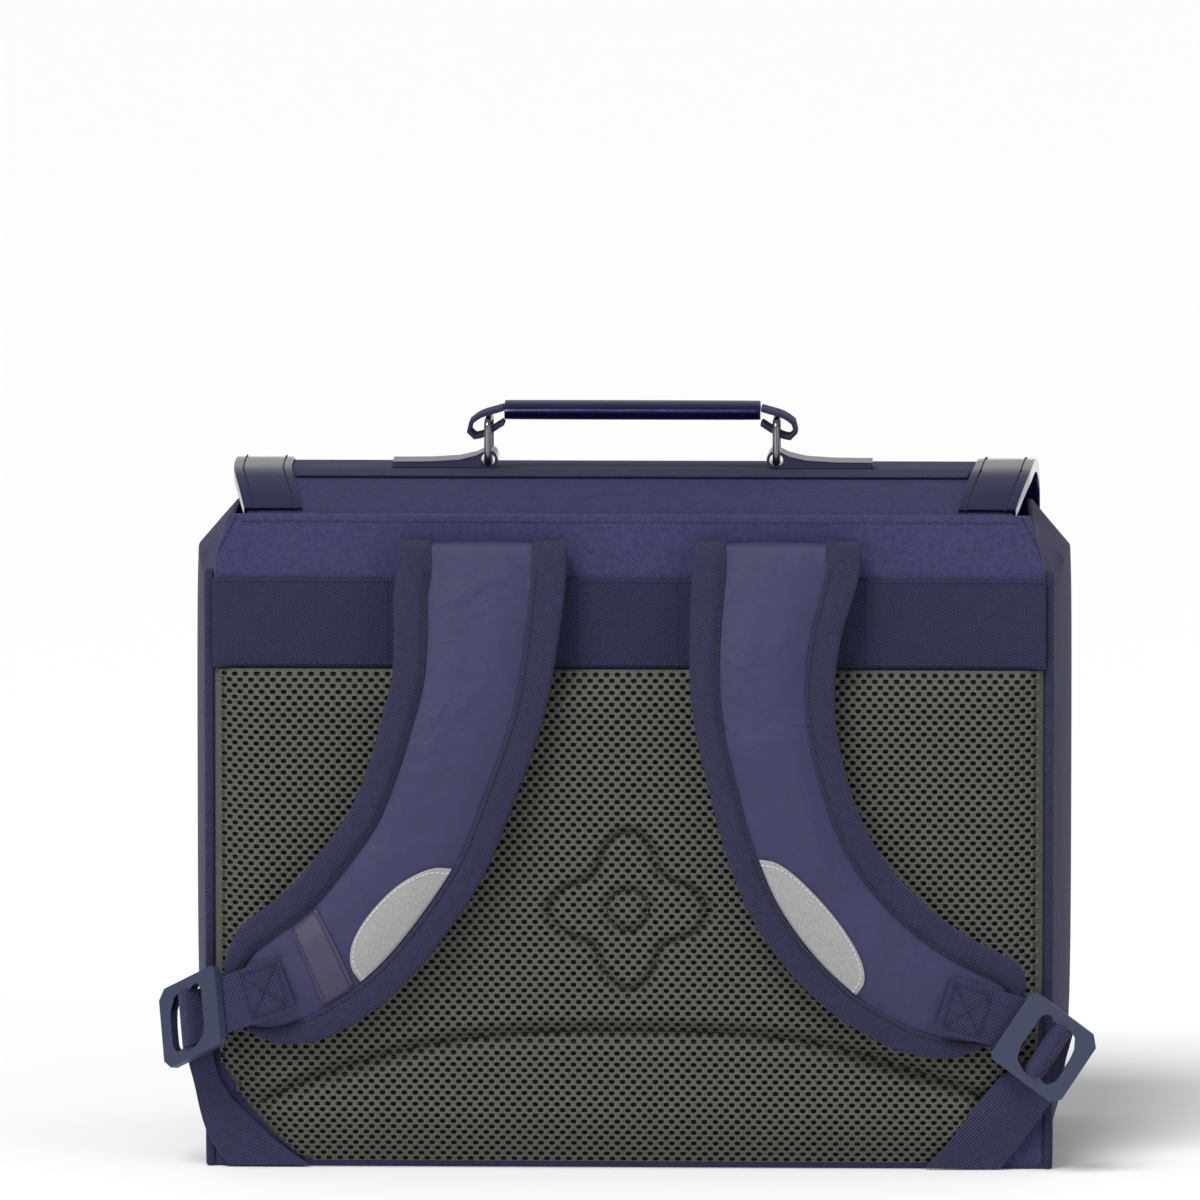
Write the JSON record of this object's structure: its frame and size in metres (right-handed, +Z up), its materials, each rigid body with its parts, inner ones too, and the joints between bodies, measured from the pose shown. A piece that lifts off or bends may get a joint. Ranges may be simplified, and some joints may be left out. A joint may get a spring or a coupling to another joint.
{
  "type": "school ransel",
  "caption": "Navy school ransel with mesh back pad, padded shoulder straps, ladder-lock buckles and a carrying handle on its flap.",
  "frame": {"origin": "middle of the footprint, on the ground", "axes": "+Z up, +X to the wearer's-side viewer's right, -Y out of the back that lies on the wearer, +Y out of the front"},
  "size_m": [0.4082, 0.2128, 0.3306],
  "materials": {
    "fabric": "woven navy polyester",
    "twill": "twill binding tape",
    "webbing": "ribbed webbing",
    "mesh": "grey spacer mesh",
    "patent": "glossy patent leather",
    "reflector": "matt grey reflective cloth",
    "label": "glossy strip",
    "buckle": "moulded slate blue",
    "ring": "dark polished nickel"
  },
  "bodies": {
    "root": {"bottom_panel": "fabric", "back_panel": "fabric", "front_panel": "fabric", "back_pad": "mesh", "back_yoke": "fabric", "back_band": "webbing", "flap": "fabric", "crest_strip": "twill", "handle_grip": "patent", "strap_label": "label", "side_gusset_left": "fabric", "side_binding_left": "twill", "flap_trim_left": "patent", "closure_strap_left": "patent", "closure_clasp_left": "ring", "handle_tab_left": "patent", "handle_ring_left": "ring", "handle_web_left": "webbing", "strap_left": "fabric", "strap_binding_left_inner": "twill", "strap_binding_left_outer": "twill", "reflector_left": "reflector", "buckle_left": "buckle", "strap_tab_left": "webbing", "lower_webbing_left": "webbing", "side_gusset_right": "fabric", "side_binding_right": "twill", "flap_trim_right": "patent", "closure_strap_right": "patent", "closure_clasp_right": "ring", "handle_tab_right": "patent", "handle_ring_right": "ring", "handle_web_right": "webbing", "strap_right": "fabric", "strap_binding_right_inner": "twill", "strap_binding_right_outer": "twill", "reflector_right": "reflector", "buckle_right": "buckle", "strap_tab_right": "webbing", "lower_webbing_right": "webbing"}
  },
  "joints": []
}
